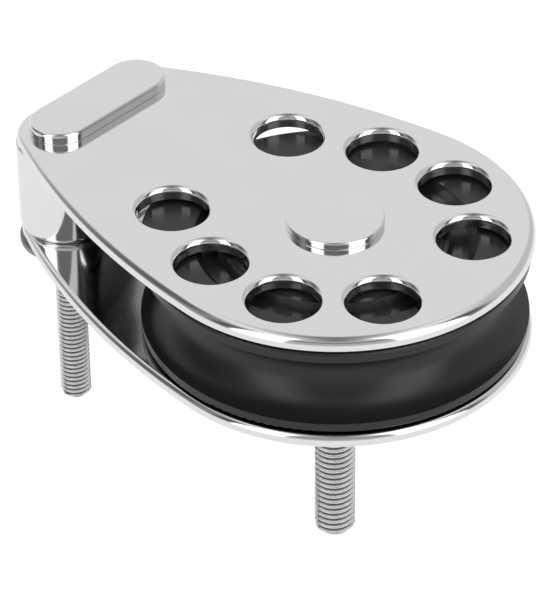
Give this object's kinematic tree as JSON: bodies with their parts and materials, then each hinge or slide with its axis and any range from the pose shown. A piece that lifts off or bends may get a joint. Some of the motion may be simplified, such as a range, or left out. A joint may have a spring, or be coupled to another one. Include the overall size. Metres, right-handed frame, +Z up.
{
  "type": "deck block",
  "caption": "Flat deck block that turns a rope round a large grooved sheave between polished teardrop cheek plates, with studs that bolt through the deck.",
  "frame": {"origin": "on the sheave's axle line at deck level, the underside of the feet", "axes": "+X towards the round nose, away from the tail spacer; +Z up from the deck"},
  "size_m": [0.1761, 0.122, 0.123],
  "materials": {
    "polished_steel": "mirror-polished stainless steel",
    "plain_steel": "fine-turned stainless steel",
    "threaded_steel": "rolled thread, dull stainless steel",
    "black_anodised": "satin black hard-anodised, finely turned",
    "black_plastic": "matte black",
    "screw_steel": "dull stainless steel",
    "cage_plastic": "ivory, matte",
    "roller_plastic": "dark amber, smooth",
    "ball_plastic": "white, smooth"
  },
  "bodies": {
    "frame": {"top_plate": "polished_steel", "base_plate": "polished_steel", "tail_spacer": "polished_steel", "tail_cap": "polished_steel", "tail_foot": "plain_steel", "tail_studs": "threaded_steel", "axle": "plain_steel", "axle_cap": "polished_steel", "axle_foot": "plain_steel", "axle_stud": "threaded_steel", "inner_sleeve": "plain_steel", "upper_race": "plain_steel", "lower_race": "plain_steel"},
    "sheave_wheel": {"sheave": "black_anodised", "outer_bush": "plain_steel", "upper_cover": "black_plastic", "lower_cover": "black_plastic", "upper_cover_screws": "screw_steel", "lower_cover_screws": "screw_steel"},
    "roller_ring": {"roller_cage": "cage_plastic", "rollers": "roller_plastic"},
    "upper_ball_ring": {"upper_ball_cage": "cage_plastic", "upper_balls": "ball_plastic"},
    "lower_ball_ring": {"lower_ball_cage": "cage_plastic", "lower_balls": "ball_plastic"}
  },
  "joints": [
    {"name": "sheave_spin", "type": "hinge", "parent": "frame", "child": "sheave_wheel", "pos_m": [0, 0, 0.022], "axis": [0, 0, 1], "continuous": true},
    {"name": "roller_ring_spin", "type": "hinge", "parent": "frame", "child": "roller_ring", "pos_m": [0, 0, 0.022], "axis": [0, 0, 1], "continuous": true},
    {"name": "upper_ball_ring_spin", "type": "hinge", "parent": "frame", "child": "upper_ball_ring", "pos_m": [0, 0, 0.022], "axis": [0, 0, 1], "continuous": true},
    {"name": "lower_ball_ring_spin", "type": "hinge", "parent": "frame", "child": "lower_ball_ring", "pos_m": [0, 0, 0.022], "axis": [0, 0, 1], "continuous": true}
  ],
  "couplings": [
    {"joint": "roller_ring_spin", "follows": "sheave_spin", "ratio": 0.57895},
    {"joint": "upper_ball_ring_spin", "follows": "sheave_spin", "ratio": 0.5},
    {"joint": "lower_ball_ring_spin", "follows": "sheave_spin", "ratio": 0.5}
  ]
}
